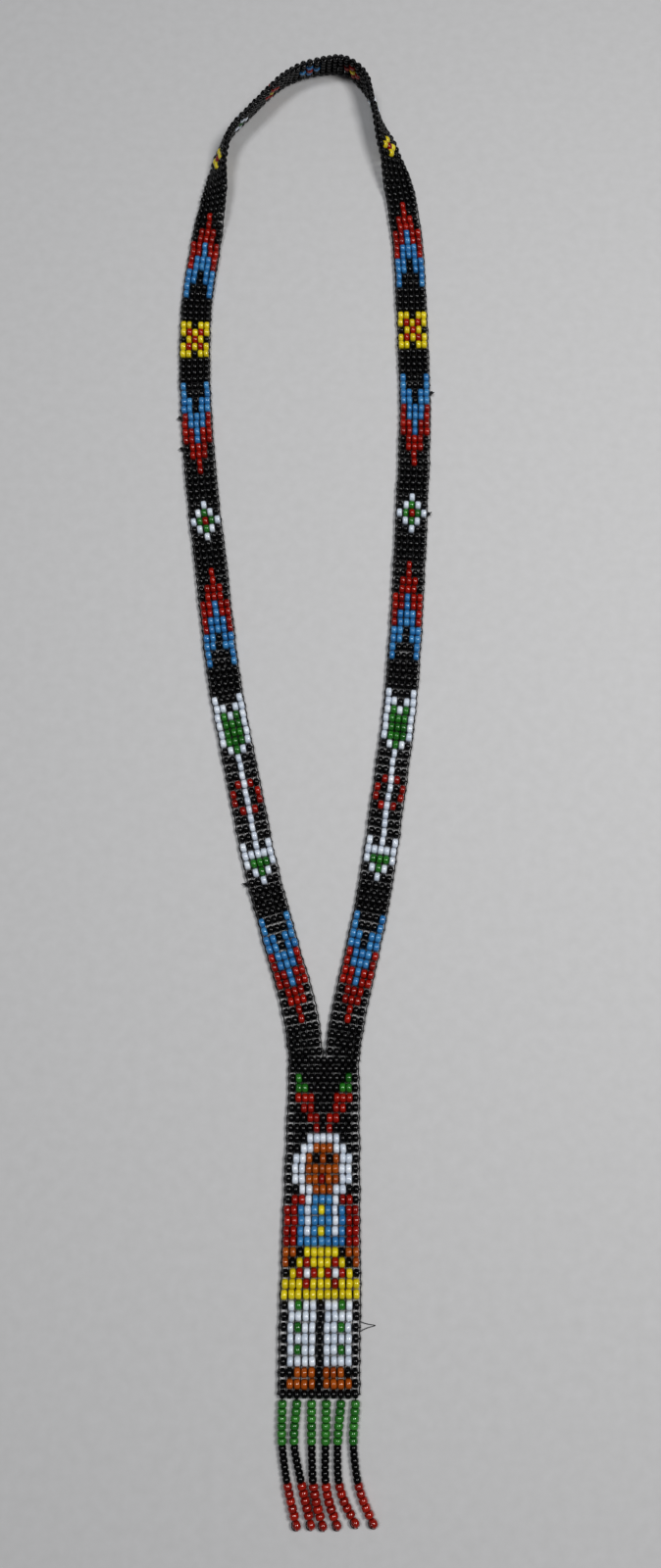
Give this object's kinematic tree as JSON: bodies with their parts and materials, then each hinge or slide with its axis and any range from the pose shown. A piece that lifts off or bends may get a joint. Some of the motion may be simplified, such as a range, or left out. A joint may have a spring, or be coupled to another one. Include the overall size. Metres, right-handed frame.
{
  "type": "beaded pendant necklace",
  "caption": "Loom-woven glass bead necklace whose pendant panel shows a small standing figure, with a patterned neck band that runs up and over and a bead fringe below.",
  "frame": {"origin": "middle of the underside of the necklace as it lies flat on its back", "axes": "+Y towards the back of the neck, -Y towards the fringe, +X to the figure's left hand (the viewer's right), +Z out of the figure's face"},
  "size_m": [0.07, 0.3867, 0.0084],
  "materials": {
    "black_beads": "glossy opaque glass seed beads",
    "green_beads": "glossy opaque glass seed beads",
    "red_beads": "glossy opaque glass seed beads",
    "white_beads": "glossy opaque glass seed beads",
    "orange_beads": "glossy opaque glass seed beads",
    "blue_beads": "glossy opaque glass seed beads",
    "yellow_beads": "glossy opaque glass seed beads",
    "fringe_green": "glossy opaque glass seed beads",
    "fringe_red": "glossy opaque glass seed beads",
    "black_thread": "waxed black beading thread"
  },
  "bodies": {
    "figure": {"figure_black_beads": "black_beads", "leaf_green_beads": "green_beads", "crest_red_beads": "red_beads", "hair_white_beads": "white_beads", "face_orange_beads": "orange_beads", "eye_black_beads": "black_beads", "mouth_red_bead": "red_beads", "sleeve_red_beads": "red_beads", "shirt_blue_beads": "blue_beads", "shirt_white_beads": "white_beads", "button_yellow_beads": "yellow_beads", "hand_orange_beads": "orange_beads", "sash_yellow_beads": "yellow_beads", "sash_red_beads": "red_beads", "sash_white_beads": "white_beads", "figure_net": "black_thread"},
    "legs": {"legs_black_beads": "black_beads", "trouser_white_beads": "white_beads", "trouser_green_beads": "green_beads", "foot_orange_beads": "orange_beads", "legs_net": "black_thread"},
    "straps": {"strap_black_beads": "black_beads", "strap_red_beads": "red_beads", "strap_blue_beads": "blue_beads", "strap_white_beads": "white_beads", "strap_green_beads": "green_beads", "strap_net": "black_thread", "strap_knots": "black_thread"},
    "neck": {"neck_black_beads": "black_beads", "neck_yellow_beads": "yellow_beads", "neck_red_beads": "red_beads", "neck_blue_beads": "blue_beads", "neck_white_beads": "white_beads", "neck_green_beads": "green_beads", "neck_net": "black_thread"},
    "strand_1": {"strand_1_green_beads": "fringe_green", "strand_1_black_beads": "black_beads", "strand_1_red_beads": "fringe_red", "strand_1_thread": "black_thread"},
    "strand_2": {"strand_2_green_beads": "fringe_green", "strand_2_black_beads": "black_beads", "strand_2_red_beads": "fringe_red", "strand_2_thread": "black_thread"},
    "strand_3": {"strand_3_green_beads": "fringe_green", "strand_3_black_beads": "black_beads", "strand_3_red_beads": "fringe_red", "strand_3_thread": "black_thread"},
    "strand_4": {"strand_4_green_beads": "fringe_green", "strand_4_black_beads": "black_beads", "strand_4_red_beads": "fringe_red", "strand_4_thread": "black_thread"},
    "strand_5": {"strand_5_green_beads": "fringe_green", "strand_5_black_beads": "black_beads", "strand_5_red_beads": "fringe_red", "strand_5_thread": "black_thread"},
    "strand_6": {"strand_6_green_beads": "fringe_green", "strand_6_black_beads": "black_beads", "strand_6_red_beads": "fringe_red", "strand_6_thread": "black_thread"}
  },
  "joints": [
    {"name": "band_at_panel", "type": "hinge", "parent": "figure", "child": "straps", "pos_m": [0.0053, -0.0899, 0.00107], "axis": [1, 0, 0], "range_deg": [-110, 110]},
    {"name": "band_at_neck", "type": "hinge", "parent": "straps", "child": "neck", "pos_m": [-0.0307, 0.0946, 0.00107], "axis": [0.999, 0.0436, 0], "range_deg": [-110, 110]},
    {"name": "figure_fold", "type": "hinge", "parent": "figure", "child": "legs", "pos_m": [0.0053, -0.14295, 0.00107], "axis": [1, 0, 0], "range_deg": [-90, 90]},
    {"name": "fringe_1", "type": "hinge", "parent": "legs", "child": "strand_1", "pos_m": [0.0053, -0.16438, 0.00107], "axis": [1, 0, 0], "range_deg": [-100, 100]},
    {"name": "fringe_2", "type": "hinge", "parent": "legs", "child": "strand_2", "pos_m": [0.0053, -0.16438, 0.00107], "axis": [1, 0, 0], "range_deg": [-100, 100]},
    {"name": "fringe_3", "type": "hinge", "parent": "legs", "child": "strand_3", "pos_m": [0.0053, -0.16438, 0.00107], "axis": [1, 0, 0], "range_deg": [-100, 100]},
    {"name": "fringe_4", "type": "hinge", "parent": "legs", "child": "strand_4", "pos_m": [0.0053, -0.16438, 0.00107], "axis": [1, 0, 0], "range_deg": [-100, 100]},
    {"name": "fringe_5", "type": "hinge", "parent": "legs", "child": "strand_5", "pos_m": [0.0053, -0.16438, 0.00107], "axis": [1, 0, 0], "range_deg": [-100, 100]},
    {"name": "fringe_6", "type": "hinge", "parent": "legs", "child": "strand_6", "pos_m": [0.0053, -0.16438, 0.00107], "axis": [1, 0, 0], "range_deg": [-100, 100]}
  ]
}
